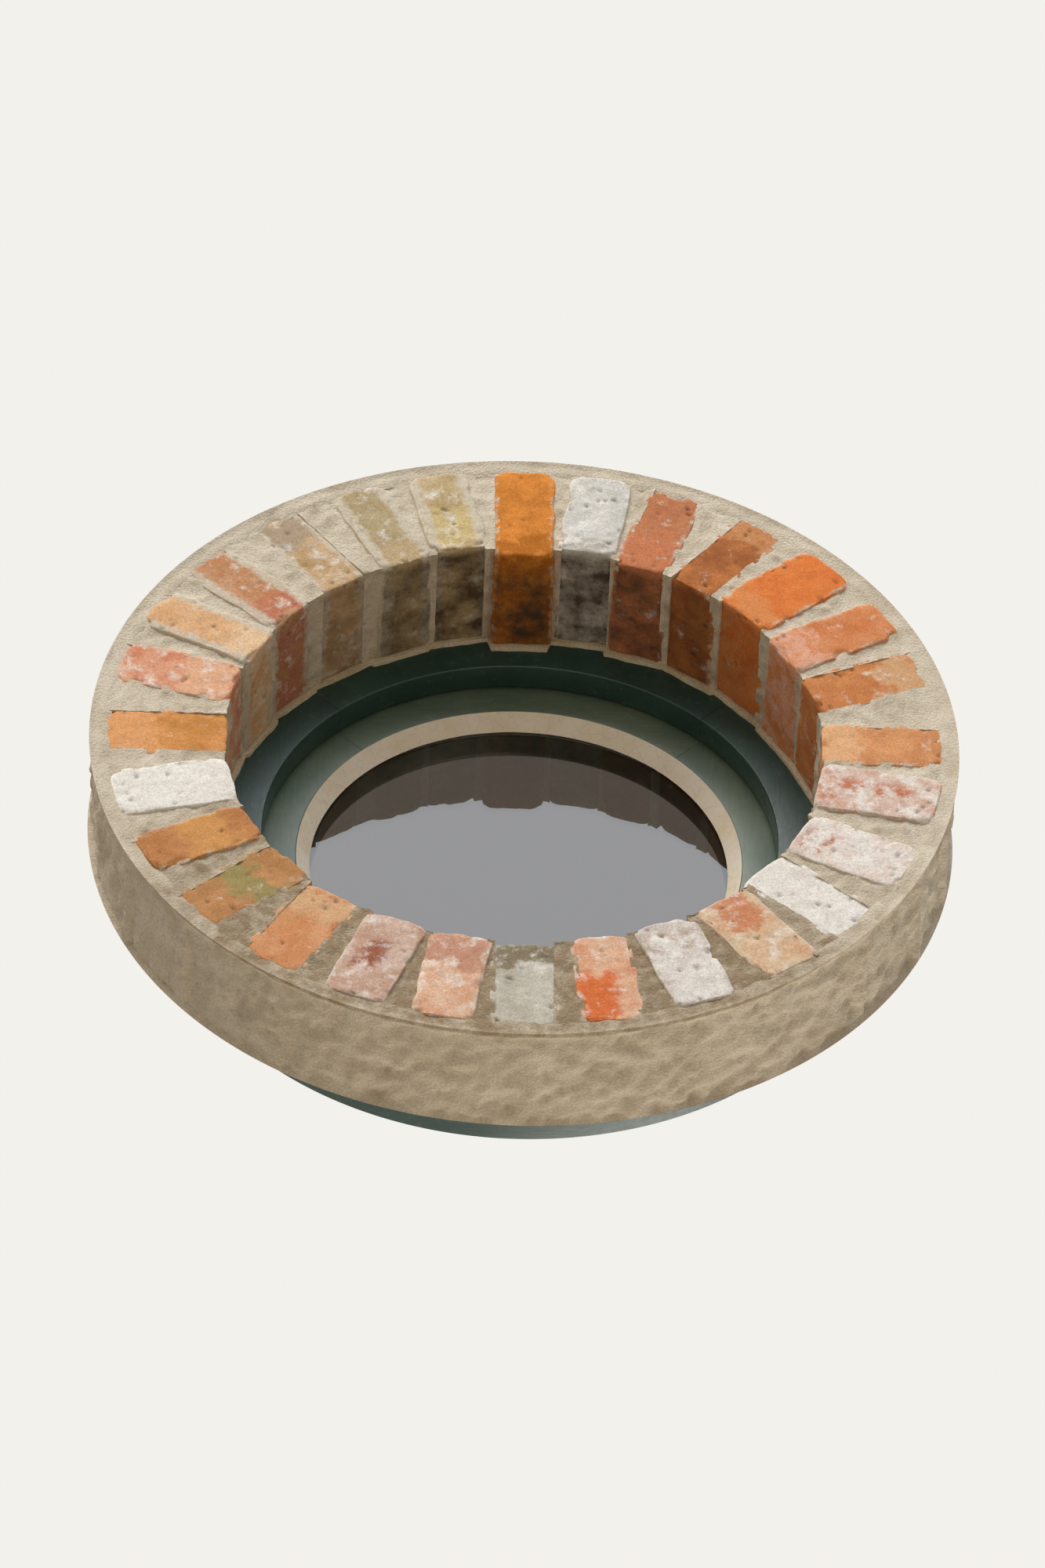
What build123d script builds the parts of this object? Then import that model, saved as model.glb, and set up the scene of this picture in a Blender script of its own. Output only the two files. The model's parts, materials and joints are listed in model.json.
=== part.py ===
from build123d import *
from math import asin, cos, degrees, radians, sin, sqrt, tan
import os

# Round window with its ring of brick headers, in millimetres.
# Y runs from the street into the room and Z is up. The origin is the centre of the opening,
# in the plane of the pointed face. Bearings are degrees clockwise from the top, seen from the street.

# Ring of bricks
opening_radius = 205
brick_length = 84
brick_depth = 84
brick_edge = 3
key_drop = 8
front_play = 1.2
front_pace = 1.7
end_play = 1.5
end_pace = 2.4
joint_rake = 4
soffit_rake = 3
ring_joint = 11
bed_joint = 3
bed_lip = 1.5

# Each brick's bearing, the angle that it takes up at the opening, and its lean off the radius
brick_lay = [
    (0, 10.3, 0), (11.5, 10.4, 3), (22.5, 9.8, 4), (35, 10.0, -3),
    (47.5, 12.0, -2), (61, 10.2, 1), (73, 10.8, 6), (88.5, 10.6, -2),
    (100.5, 11.4, 0), (115, 11.2, -1), (128, 11.2, -3), (140.5, 11.3, -3),
    (154, 11.0, -5), (167, 10.6, -7), (180, 11.7, 0), (191.5, 10.6, 2),
    (204, 10.9, 3), (217.5, 11.7, 6), (231, 11.0, 3), (244, 9.4, 2),
    (257, 11.2, 0), (270.5, 11.7, 0), (285, 10.4, 0), (297, 10.0, -2),
    (309, 10.4, -3), (322.5, 10.6, -1), (336, 9.8, 2), (347.5, 10.2, 1),
]

# Fixed frame
frame_depth = 61
frame_reach = 40
swing_gap = 3
stop_thickness = 21
stop_lap = 10
stop_round = 3
closing_gap = 0.5

# Sash
sash_rail = 24
sash_taper = 1.5
sash_arris = 1.5
glazing_rebate = 10
glazing_depth = 16
room_mould = 9
segment_count = 4
segment_joint = 45

# Loose tongues in the segment joints
tongue_thickness = 5
tongue_length = 30
frame_tongue_width = 30
sash_tongue_width = 20

# Glazing
pane_radius = 153
pane_clearance = 2
pane_thickness = 4
putty_bed = 1
putty_lip = 0.5
sprig_count = 8
sprig_thickness = 0.8
sprig_width = 8
sprig_drive = 2.5
sprig_length = 8
sprig_slope = 68

# Hinges
hinge_inset = 2
hinge_spread = 32
leaf_height = 40
leaf_width = 24
leaf_thickness = 1.8
leaf_lift = 0.3
knuckle_radius = 3.9
knuckle_count = 5
knuckle_gap = 0.2
notch_gap = 0.5
hinge_pin_radius = 2
pin_clearance = 0.05
pin_cap_height = 1.6
pin_cap_radius = 3
pin_cap_bevel = 1

# Wood screws with countersunk heads
screw_radius = 1.8
screw_head_radius = 3.5
screw_length = 17
screw_slot = 0.7
screw_offset = 15
screw_pitch = 24

# Turn button
button_bearing = 90
button_inset = 11
button_length = 54
button_width = 13
button_thickness = 7
button_edge = 1.5
washer_radius = 5
washer_thickness = 0.8
pivot_radius = 2.2
pivot_clearance = 0.2
pivot_length = 26
pivot_head_radius = 4.5
pivot_head_height = 2.6
pivot_head_round = 1.8
pivot_head_gap = 0.1

# Pull knob
knob_bearing = 110
knob_inset = 18
knob_height = 24
knob_radius = 9.5
knob_neck = 4.5
knob_base = 7.5
knob_foot = 2
stud_radius = 2
stud_length = 30
stud_depth = 16

# Cramps
cramp_bearings = [0, 90, 180, 270]
cramp_width = 26
cramp_thickness = 3
cramp_tail = 38
cramp_leg = 44
cramp_screw_pitch = 18

brick_outer = opening_radius + brick_length
ring_radius = brick_outer + ring_joint
frame_face = brick_depth + bed_joint
frame_back = frame_face + frame_depth
stop_back = frame_face + stop_thickness
sash_front = stop_back + closing_gap
frame_outer = opening_radius + frame_reach
rebate_radius = pane_radius + pane_clearance
sight_radius = rebate_radius - glazing_rebate
stop_radius = rebate_radius + sash_rail
sash_outer = stop_radius + stop_lap
frame_rebate = sash_outer + swing_gap
rebate_floor = sash_front + glazing_depth
pane_back = rebate_floor - putty_bed
pane_front = pane_back - pane_thickness
hinge_line = sash_outer - hinge_inset
button_pivot = frame_rebate + button_inset
knob_circle = sash_outer - knob_inset
hinge_axis = frame_back + leaf_lift + knuckle_radius


def clock_point(radius, bearing, depth):
    return (radius * sin(radians(bearing)), depth, radius * cos(radians(bearing)))


def clock_vector(bearing):
    return clock_point(1, bearing, 0)


# Plane through the window's axis: its x is the radius at that bearing and its y is the depth
def radial_plane(bearing):
    return Plane(origin=(0, 0, 0), x_dir=clock_vector(bearing), z_dir=clock_vector(bearing - 90))


# Plane square to the window's axis: its x is the radius at that bearing and it faces the room
def room_plane(radius, bearing, depth):
    return Plane(
        origin=clock_point(radius, bearing, depth), x_dir=clock_vector(bearing), z_dir=(0, 1, 0)
    )


# Plane across a radius, facing outwards
def rim_plane(radius, bearing, depth):
    return Plane(origin=clock_point(radius, bearing, depth), x_dir=(0, 1, 0), z_dir=clock_vector(bearing))


button_base = frame_back + washer_thickness
pivot_head_plane = room_plane(
    button_pivot, button_bearing, button_base + button_thickness + pivot_head_gap
)


def write_part(builder, name):
    builder.part.label = name
    export_step(builder.part, f"parts/{name}.step")


def brick_place(number):
    bearing, span, lean = brick_lay[number - 1]
    drop = key_drop if number == 1 else end_play * sin(end_pace * number)
    length = brick_length + drop
    width = 2 * opening_radius * tan(radians(span / 2))
    front = front_play * cos(front_pace * number)
    middle = clock_point(brick_outer - length / 2, bearing, front)
    plane = Plane(origin=middle, x_dir=clock_vector(bearing - lean), z_dir=(0, 1, 0))
    return plane, length, width, brick_depth - front


def make_brick(number):
    plane, length, width, depth = brick_place(number)
    with BuildPart() as brick:
        with BuildSketch(plane):
            Rectangle(length, width)
        extrude(amount=depth)
        front_edges = brick.faces().sort_by(Axis.Y)[0].edges()
        soffit_edges = brick.edges().filter_by(Axis.Y).sort_by_distance((0, depth / 2, 0))[:2]
        fillet(front_edges + soffit_edges, radius=brick_edge)
    write_part(brick, f"brick_{number:02d}")


# One solid for each joint, from the middle of one brick to the middle of the next
def make_ring_mortar():
    soffit = opening_radius + soffit_rake
    joints = []
    for number in range(1, len(brick_lay) + 1):
        following = number % len(brick_lay) + 1
        start = brick_lay[number - 1][0]
        turn = (brick_lay[following - 1][0] - start) % 360
        with BuildPart() as joint:
            with BuildSketch(radial_plane(start)):
                with BuildLine():
                    Polyline(
                        (soffit, joint_rake),
                        (brick_outer, joint_rake),
                        (brick_outer, 0),
                        (ring_radius, 0),
                        (ring_radius, brick_depth),
                        (soffit, brick_depth),
                        close=True,
                    )
                make_face()
            revolve(axis=Axis.Y, revolution_arc=turn)
            for neighbour in (number, following):
                plane, length, width, depth = brick_place(neighbour)
                with BuildSketch(plane):
                    Rectangle(length, width)
                extrude(amount=depth, mode=Mode.SUBTRACT)
        joints.append(joint.part.solid())
    mortar = Compound(joints)
    mortar.label = "ring_mortar"
    export_step(mortar, "parts/ring_mortar.step")


def make_frame_bedding():
    with BuildPart() as bedding:
        with BuildSketch(room_plane(0, 0, brick_depth)):
            Circle(frame_outer)
            Circle(opening_radius - bed_lip, mode=Mode.SUBTRACT)
        extrude(amount=bed_joint)
    write_part(bedding, "frame_bedding")


# Planes across the segment joints, centred on the loose tongues
def tongue_planes(radius, depth):
    bearings = [segment_joint + index * 360 / segment_count for index in range(segment_count)]
    return [
        Plane(clock_point(radius, bearing, depth), clock_vector(bearing), clock_vector(bearing - 90))
        for bearing in bearings
    ]


frame_tongues = tongue_planes((frame_rebate + frame_outer) / 2, (stop_back + frame_back) / 2)
sash_tongues = tongue_planes((rebate_radius + sash_outer) / 2, (rebate_floor + frame_back) / 2)


def make_tongues(name, planes, width):
    with BuildPart() as tongues:
        for plane in planes:
            with BuildSketch(plane):
                Rectangle(width, tongue_thickness)
        extrude(amount=tongue_length / 2, both=True)
    write_part(tongues, name)


# Planes on the room face of the hinge leaves at their screws
def leaf_screw_planes(hinge_z, side):
    x = -hinge_line + side * screw_offset
    depth = frame_back + leaf_thickness
    return [
        Plane(origin=(x, depth, hinge_z + offset), x_dir=(1, 0, 0), z_dir=(0, 1, 0))
        for offset in (-screw_pitch / 2, screw_pitch / 2)
    ]


def hinge_screw_planes(side):
    return leaf_screw_planes(-hinge_spread, side) + leaf_screw_planes(hinge_spread, side)


# Planes on the outside of the cramps at their screws
def cramp_screw_planes():
    middle = (frame_back + frame_face) / 2
    depths = (middle - cramp_screw_pitch / 2, middle + cramp_screw_pitch / 2)
    outer = frame_outer + cramp_thickness
    return [rim_plane(outer, bearing, depth) for bearing in cramp_bearings for depth in depths]


def make_frame_segment(index):
    start = segment_joint + index * 360 / segment_count
    with BuildPart() as segment:
        with BuildSketch(radial_plane(start)):
            with BuildLine():
                Polyline(
                    (stop_radius, frame_face),
                    (frame_outer, frame_face),
                    (frame_outer, frame_back),
                    (frame_rebate, frame_back),
                    (frame_rebate, stop_back),
                    (stop_radius, stop_back),
                    close=True,
                )
            make_face()
            fillet(vertices().sort_by_distance((stop_radius, frame_face))[:1], radius=stop_round)
        revolve(axis=Axis.Y, revolution_arc=360 / segment_count)
        for plane in frame_tongues:
            with BuildSketch(plane):
                Rectangle(frame_tongue_width, tongue_thickness)
        extrude(amount=tongue_length / 2, both=True, mode=Mode.SUBTRACT)
        for plane in hinge_screw_planes(-1) + cramp_screw_planes():
            with BuildSketch(plane):
                Circle(screw_radius)
        extrude(amount=-screw_length, mode=Mode.SUBTRACT)
        with BuildSketch(pivot_head_plane):
            Circle(pivot_radius)
        extrude(amount=-pivot_length, mode=Mode.SUBTRACT)
    write_part(segment, f"frame_segment_{index + 1}")


# Planes on the street face of the pane, centred on the sprigs
def sprig_planes():
    middle = rebate_radius + sprig_drive - sprig_length / 2
    bearings = [(index + 0.5) * 360 / sprig_count for index in range(sprig_count)]
    return [room_plane(middle, bearing, pane_front) for bearing in bearings]


def make_sash_segment(index):
    start = segment_joint + index * 360 / segment_count
    with BuildPart() as segment:
        with BuildSketch(radial_plane(start)):
            with BuildLine():
                Polyline(
                    (sight_radius + room_mould, frame_back),
                    (sash_outer, frame_back),
                    (sash_outer - sash_taper, sash_front),
                    (rebate_radius, sash_front),
                    (rebate_radius, rebate_floor),
                    (sight_radius, rebate_floor),
                    (sight_radius, frame_back - room_mould),
                )
                RadiusArc(
                    (sight_radius, frame_back - room_mould),
                    (sight_radius + room_mould, frame_back),
                    room_mould,
                )
            make_face()
            front_corner = vertices().sort_by_distance((sash_outer - sash_taper, sash_front))[:1]
            chamfer(front_corner, length=sash_arris)
        revolve(axis=Axis.Y, revolution_arc=360 / segment_count)
        for plane in sash_tongues:
            with BuildSketch(plane):
                Rectangle(sash_tongue_width, tongue_thickness)
        extrude(amount=tongue_length / 2, both=True, mode=Mode.SUBTRACT)
        for plane in hinge_screw_planes(1):
            with BuildSketch(plane):
                Circle(screw_radius)
        extrude(amount=-screw_length, mode=Mode.SUBTRACT)
        with BuildSketch(room_plane(knob_circle, knob_bearing, frame_back)):
            Circle(stud_radius)
        extrude(amount=-stud_depth, mode=Mode.SUBTRACT)
        for plane in sprig_planes():
            with BuildSketch(plane):
                Trapezoid(sprig_width, sprig_length, sprig_slope, rotation=90)
        extrude(amount=-sprig_thickness, mode=Mode.SUBTRACT)
    write_part(segment, f"sash_segment_{index + 1}")


def make_glass_pane():
    with BuildPart() as pane:
        with BuildSketch(room_plane(0, 0, pane_front)):
            Circle(pane_radius)
        extrude(amount=pane_thickness)
    write_part(pane, "glass_pane")


def make_putty_ring():
    with BuildPart() as putty:
        with BuildSketch(Plane.XY):
            with BuildLine():
                Polyline(
                    (rebate_radius, sash_front),
                    (sight_radius + putty_lip, pane_front),
                    (pane_radius, pane_front),
                    (pane_radius, pane_back),
                    (sight_radius + putty_lip, pane_back),
                    (sight_radius + putty_lip, rebate_floor),
                    (rebate_radius, rebate_floor),
                    close=True,
                )
            make_face()
        revolve(axis=Axis.Y)
        for plane in sprig_planes():
            with BuildSketch(plane):
                Trapezoid(sprig_width, sprig_length, sprig_slope, rotation=90)
        extrude(amount=-sprig_thickness, mode=Mode.SUBTRACT)
    write_part(putty, "putty_ring")


def make_glazing_sprigs():
    with BuildPart() as sprigs:
        for plane in sprig_planes():
            with BuildSketch(plane):
                Trapezoid(sprig_width, sprig_length, sprig_slope, rotation=90)
        extrude(amount=-sprig_thickness)
    write_part(sprigs, "glazing_sprigs")


# A leaf on the sash has side 1 and takes the even knuckles, one on the frame has side -1
def make_hinge_leaf(name, hinge_z, side):
    pitch = leaf_height / knuckle_count
    foot = hinge_z - leaf_height / 2
    bore = hinge_pin_radius + pin_clearance
    plate_start = knuckle_radius + notch_gap
    with BuildPart() as leaf:
        with BuildSketch(Plane.XY.offset(foot)):
            middle = -hinge_line + side * (plate_start + leaf_width) / 2
            with Locations((middle, frame_back + leaf_thickness / 2)):
                Rectangle(leaf_width - plate_start, leaf_thickness)
        extrude(amount=leaf_height)
        for number in range(knuckle_count):
            if (number % 2 == 0) == (side == -1):
                with BuildSketch(Plane.XY.offset(foot + number * pitch + knuckle_gap / 2)):
                    with Locations((-hinge_line, hinge_axis)):
                        Circle(knuckle_radius)
                    middle = -hinge_line + side * plate_start / 2
                    with Locations((middle, frame_back + leaf_thickness / 2)):
                        Rectangle(plate_start, leaf_thickness)
                    with Locations((-hinge_line, hinge_axis)):
                        Circle(bore, mode=Mode.SUBTRACT)
                extrude(amount=pitch - knuckle_gap)
        with Locations(leaf_screw_planes(hinge_z, side)):
            CounterSinkHole(screw_radius, screw_head_radius, counter_sink_angle=90)
    write_part(leaf, name)


def make_hinge_pin(name, hinge_z):
    half = leaf_height / 2
    with BuildPart() as pin:
        with BuildSketch(Plane.XZ.offset(-hinge_axis)):
            with BuildLine():
                Polyline(
                    (-hinge_line, hinge_z - half - pin_cap_height),
                    (-hinge_line + pin_cap_radius - pin_cap_bevel, hinge_z - half - pin_cap_height),
                    (-hinge_line + pin_cap_radius, hinge_z - half),
                    (-hinge_line + hinge_pin_radius, hinge_z - half),
                    (-hinge_line + hinge_pin_radius, hinge_z + half),
                    (-hinge_line + pin_cap_radius, hinge_z + half),
                    (-hinge_line + pin_cap_radius - pin_cap_bevel, hinge_z + half + pin_cap_height),
                    (-hinge_line, hinge_z + half + pin_cap_height),
                    close=True,
                )
            make_face()
        revolve(axis=Axis((-hinge_line, hinge_axis, 0), (0, 0, 1)))
    write_part(pin, name)


# Countersunk screws with their heads flush on the given planes
def make_screws(name, planes):
    cone = screw_head_radius - screw_radius
    with BuildPart() as screws:
        for plane in planes:
            with BuildSketch(plane.offset(-screw_length)):
                Circle(screw_radius)
            extrude(amount=screw_length)
            with BuildSketch(plane):
                Circle(screw_head_radius)
            with BuildSketch(plane.offset(-cone)):
                Circle(screw_radius)
            loft()
            with BuildSketch(plane):
                Rectangle(2 * screw_head_radius, screw_slot)
            extrude(amount=-screw_slot, mode=Mode.SUBTRACT)
    write_part(screws, name)


def make_turn_button():
    plane = room_plane(button_pivot, button_bearing, button_base)
    with BuildPart() as button:
        with BuildSketch(plane):
            SlotOverall(button_length, button_width, rotation=90)
        extrude(amount=button_thickness)
        fillet(button.faces().sort_by(Axis.Y)[-1].edges(), radius=button_edge)
        with BuildSketch(plane):
            Circle(pivot_radius + pivot_clearance)
        extrude(amount=button_thickness, mode=Mode.SUBTRACT)
    write_part(button, "turn_button")


def make_button_washer():
    with BuildPart() as washer:
        with BuildSketch(room_plane(button_pivot, button_bearing, frame_back)):
            Circle(washer_radius)
            Circle(pivot_radius + pivot_clearance, mode=Mode.SUBTRACT)
        extrude(amount=washer_thickness)
    write_part(washer, "button_washer")


def make_button_screw():
    with BuildPart() as screw:
        with BuildSketch(pivot_head_plane):
            Circle(pivot_radius)
        extrude(amount=-pivot_length)
        with BuildSketch(pivot_head_plane):
            Circle(pivot_head_radius)
        extrude(amount=pivot_head_height)
        fillet(screw.faces().sort_by(Axis.Y)[-1].edges(), radius=pivot_head_round)
        with BuildSketch(pivot_head_plane.offset(pivot_head_height)):
            Rectangle(2 * pivot_head_radius, screw_slot)
        extrude(amount=-screw_slot, mode=Mode.SUBTRACT)
    write_part(screw, "button_screw")


def make_pull_knob():
    centre = clock_point(knob_circle, knob_bearing, frame_back)
    profile = Plane(origin=centre, x_dir=(1, 0, 0), z_dir=(0, 0, 1))
    ball_centre = knob_height - knob_radius
    ball_foot = ball_centre - sqrt(knob_radius**2 - knob_neck**2)
    with BuildPart() as knob:
        with BuildSketch(profile):
            with BuildLine():
                Polyline(
                    (0, knob_height),
                    (0, 0),
                    (knob_base, 0),
                    (knob_base, knob_foot),
                    (knob_neck, ball_foot),
                )
                ThreePointArc(
                    (knob_neck, ball_foot),
                    (knob_radius, ball_centre),
                    (0, knob_height),
                )
            make_face()
        revolve(axis=Axis(centre, (0, 1, 0)))
        with BuildSketch(room_plane(knob_circle, knob_bearing, frame_back)):
            Circle(stud_radius)
        extrude(amount=stud_length - stud_depth, mode=Mode.SUBTRACT)
    write_part(knob, "pull_knob")


def make_knob_stud():
    with BuildPart() as stud:
        with BuildSketch(room_plane(knob_circle, knob_bearing, frame_back - stud_depth)):
            Circle(stud_radius)
        extrude(amount=stud_length)
    write_part(stud, "knob_stud")


def make_frame_cramps():
    outer = frame_outer + cramp_thickness
    width_angle = 2 * degrees(asin(cramp_width / 2 / outer))
    with BuildPart() as cramps:
        for bearing in cramp_bearings:
            with BuildSketch(radial_plane(bearing - width_angle / 2)):
                with BuildLine():
                    Polyline(
                        (frame_outer, brick_depth),
                        (frame_outer + cramp_tail, brick_depth),
                        (frame_outer + cramp_tail, brick_depth + cramp_thickness),
                        (outer, brick_depth + cramp_thickness),
                        (outer, brick_depth + bed_joint + cramp_leg),
                        (frame_outer, brick_depth + bed_joint + cramp_leg),
                        close=True,
                    )
                make_face()
        revolve(axis=Axis.Y, revolution_arc=width_angle)
        with Locations(cramp_screw_planes()):
            CounterSinkHole(
                screw_radius, screw_head_radius, depth=screw_length, counter_sink_angle=90
            )
    write_part(cramps, "frame_cramps")


os.makedirs("parts", exist_ok=True)

for number in range(1, len(brick_lay) + 1):
    make_brick(number)
make_ring_mortar()
make_frame_bedding()
for index in range(segment_count):
    make_frame_segment(index)
    make_sash_segment(index)
make_tongues("frame_tongues", frame_tongues, frame_tongue_width)
make_tongues("sash_tongues", sash_tongues, sash_tongue_width)
make_frame_cramps()
make_screws("cramp_screws", cramp_screw_planes())
make_glass_pane()
make_putty_ring()
make_glazing_sprigs()
for place, hinge_z in (("lower", -hinge_spread), ("upper", hinge_spread)):
    make_hinge_leaf(f"{place}_frame_leaf", hinge_z, -1)
    make_hinge_leaf(f"{place}_sash_leaf", hinge_z, 1)
    make_hinge_pin(f"{place}_hinge_pin", hinge_z)
make_screws("frame_leaf_screws", hinge_screw_planes(-1))
make_screws("sash_leaf_screws", hinge_screw_planes(1))
make_turn_button()
make_button_washer()
make_button_screw()
make_pull_knob()
make_knob_stud()
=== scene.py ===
import bmesh
import bpy
import json
import math
from mathutils import Matrix, Vector, noise


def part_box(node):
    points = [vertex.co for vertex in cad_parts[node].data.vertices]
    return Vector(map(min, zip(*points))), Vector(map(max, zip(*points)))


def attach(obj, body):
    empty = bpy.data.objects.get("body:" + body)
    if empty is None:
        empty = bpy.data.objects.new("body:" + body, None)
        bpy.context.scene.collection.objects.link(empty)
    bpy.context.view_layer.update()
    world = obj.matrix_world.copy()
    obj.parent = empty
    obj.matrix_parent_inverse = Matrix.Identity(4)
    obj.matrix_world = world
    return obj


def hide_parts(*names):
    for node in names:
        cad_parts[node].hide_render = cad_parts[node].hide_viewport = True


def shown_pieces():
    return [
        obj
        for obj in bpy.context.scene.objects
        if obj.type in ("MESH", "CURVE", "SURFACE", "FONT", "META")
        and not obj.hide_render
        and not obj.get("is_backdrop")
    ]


# Round window in its ring of brick headers: the look of every piece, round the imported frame
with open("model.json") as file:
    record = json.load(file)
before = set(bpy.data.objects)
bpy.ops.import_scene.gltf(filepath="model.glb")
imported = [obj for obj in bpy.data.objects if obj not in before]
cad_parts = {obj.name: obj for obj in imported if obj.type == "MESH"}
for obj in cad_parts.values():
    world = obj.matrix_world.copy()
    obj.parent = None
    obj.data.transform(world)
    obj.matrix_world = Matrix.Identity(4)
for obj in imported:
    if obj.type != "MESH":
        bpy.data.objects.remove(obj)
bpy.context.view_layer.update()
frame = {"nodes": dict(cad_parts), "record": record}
nodes = frame["nodes"]
bodyOf = {node: body for body, group in frame["record"]["behaviour"]["bodies"].items() for node in group}

mm = 0.001
intoRoom = Vector((0, 1, 0))
brickCount = 28


# Small helpers

def smooth(low, high, value):
    share = min(1.0, max(0.0, (value - low) / (high - low)))
    return share * share * (3 - 2 * share)


def grain(place, size, shift):  # soft noise from -1 to 1, whose lumps are about size across
    return noise.noise(place / size + Vector((shift, shift * 0.7, -shift)))


def roughly(place, size, octaves):  # the same with finer lumps on top
    return noise.fractal(place / size, 0.9, 2.1, octaves)


def toLinear(hexText):  # an sRGB hex colour as linear RGBA
    values = [int(hexText[i:i + 2], 16) / 255 for i in (1, 3, 5)]
    return [v / 12.92 if v < 0.04045 else ((v + 0.055) / 1.055) ** 2.4 for v in values] + [1.0]


def addNode(tree, kind, settings=None, links=None):
    node = tree.nodes.new("ShaderNode" + kind)
    for name, value in (settings or {}).items():
        if isinstance(name, str) and hasattr(node, name):
            setattr(node, name, value)
        else:
            node.inputs[name].default_value = value
    for name, source in (links or {}).items():
        tree.links.new(source, node.inputs[name])
    return node


def newMaterial(name, settings=None):
    material = bpy.data.materials.new(name)
    material.use_nodes = True
    tree = material.node_tree
    tree.nodes.clear()
    surface = addNode(tree, "BsdfPrincipled", settings)
    addNode(tree, "OutputMaterial", links={"Surface": surface.outputs[0]})
    coords = addNode(tree, "TexCoord").outputs["Object"]
    return material, tree, surface, coords


def finishPiece(mesh, name, material, standsFor):  # a bmesh becomes a piece in the place of its nodes
    bmesh.ops.recalc_face_normals(mesh, faces=mesh.faces[:])
    for face in mesh.faces:
        face.smooth = True
    data = bpy.data.meshes.new(name)
    mesh.to_mesh(data)
    mesh.free()
    data.materials.append(material)
    piece = bpy.data.objects.new(name, data)
    bpy.context.scene.collection.objects.link(piece)
    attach(piece, bodyOf[standsFor[0]])
    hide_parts(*standsFor)


def sharpen(mesh, degrees):  # edges that turn more than this stay crisp
    limit = math.radians(degrees)
    for edge in mesh.edges:
        if len(edge.link_faces) == 2:
            edge.smooth = edge.calc_face_angle(0) < limit


def radiusOf(place):
    return math.hypot(place.x, place.z)


def bearingOf(place):  # degrees clockwise from the top, seen from the street
    return math.degrees(math.atan2(place.x, place.z)) % 360


def outwardAt(bearing):  # the way from the window's middle to that bearing
    angle = math.radians(bearing)
    return Vector((math.sin(angle), 0, math.cos(angle)))


def meshPoints(node):
    return [vert.co for vert in nodes[node].data.vertices]


def spunRing(outline, step):  # a closed outline of (radius, depth), spun once round the window
    ring = bmesh.new()
    verts = [ring.verts.new((0, depth, radius)) for radius, depth in outline]
    edges = [ring.edges.new((a, b)) for a, b in zip(verts, verts[1:] + verts[:1])]
    bmesh.ops.spin(
        ring, geom=verts + edges, cent=(0, 0, 0), axis=(0, 1, 0), angle=2 * math.pi,
        steps=round(360 / step), use_merge=True, use_duplicate=False,
    )
    return ring


# Brick: hand-moulded, low-fired clay, dry and sandy, with worn arrises and old lime wash in its pores

brickShape = {
    "cell": 1.5 * mm,
    "hiddenMargin": 12 * mm,
    "arris": 2.2 * mm,
    "arrisSwing": 1.2 * mm,
    "arrisPatch": 9 * mm,
    "leastArris": 1.2 * mm,
    "chip": 5.0 * mm,
    "chipPatch": 13 * mm,
    "cornerWear": 3.5 * mm,
    "sideBulge": 2.5 * mm,
    "sideWander": 1.5 * mm,
    "sidePatch": 17 * mm,
    "lump": 22 * mm,
    "bow": 0.8 * mm,
    "rough": 0.9 * mm,
    "roughGrain": 8 * mm,
    "pitSpacing": 7 * mm,
    "pitPatch": 16 * mm,
    "pitDepth": 1.5 * mm,
    "smearReach": 5 * mm,
    "sootAndShadeFrom": 2 * mm,
    "crease": 60,
}
# values on each vertex that the clay's finish reads
brickMarks = ("along", "across", "worn", "pit", "soot", "smear")


class BrickBox:  # where a brick stands: along points outwards, across clockwise
    def __init__(self, name):
        mesh = nodes[name].data
        side = max((p for p in mesh.polygons if abs(p.normal.y) < 0.1), key=lambda p: p.area)
        lowest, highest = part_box(name)
        middle = (lowest + highest) / 2
        across = side.normal.normalized()
        if across.dot(Vector((middle.z, 0, -middle.x))) < 0:
            across = -across
        self.across = across
        self.along = Vector((-across.z, 0, across.x))
        spans = []
        for axis in (self.along, self.across, intoRoom):
            reach = [point.dot(axis) for point in meshPoints(name)]
            spans.append((min(reach), max(reach)))
        self.half = Vector([(high - low) / 2 for low, high in spans])
        centres = [(high + low) / 2 for low, high in spans]
        self.centre = self.along * centres[0] + self.across * centres[1] + intoRoom * centres[2]
        self.bearing = bearingOf(self.centre)

    def place(self, local):
        return self.centre + self.along * local.x + self.across * local.y + intoRoom * local.z

    def edgePoint(self, side, radius):  # where its side face meets that radius, at the street face
        start = self.centre + self.across * side * self.half.y
        start.y = 0
        reach = start.dot(self.along)
        step = math.sqrt(reach * reach - start.length_squared + radius * radius) - reach
        return start + self.along * step


brickBoxes = [BrickBox(f"brick_{number:02d}") for number in range(1, brickCount + 1)]


def gridBlock(cells):  # a unit cube cut into cells along x, y and z
    block = bmesh.new()
    bmesh.ops.create_cube(block, size=1)
    for axis, count in enumerate(cells):
        edges = [e for e in block.edges if abs(abs((e.verts[0].co - e.verts[1].co)[axis]) - 1) < 1e-4]
        bmesh.ops.subdivide_edges(block, edges=edges, cuts=count - 1, use_grid_fill=True)
    return block


def mergeHidden(block, test):  # faces that no view reaches become one
    for sign in (-1, 1):
        faces = [face for face in block.faces if test(face, sign)]
        bmesh.ops.dissolve_faces(block, faces=faces, use_verts=True)


def brickTemplate(shape):
    half = brickBoxes[1].half
    cells = [max(4, round(2 * side / shape["cell"])) for side in half]
    block = gridBlock(cells)
    margin = [shape["hiddenMargin"] / (2 * side) for side in half]

    def sideInside(face, sign):
        centre = face.calc_center_median()
        return (
            face.normal.y * sign > 0.9
            and centre.x > -0.5 + margin[0]
            and -0.5 + margin[2] < centre.z < 0.5 - margin[2] / 3
            and centre.x < 0.5 - margin[0] / 3
        )

    mergeHidden(block, sideInside)
    return block


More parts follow.
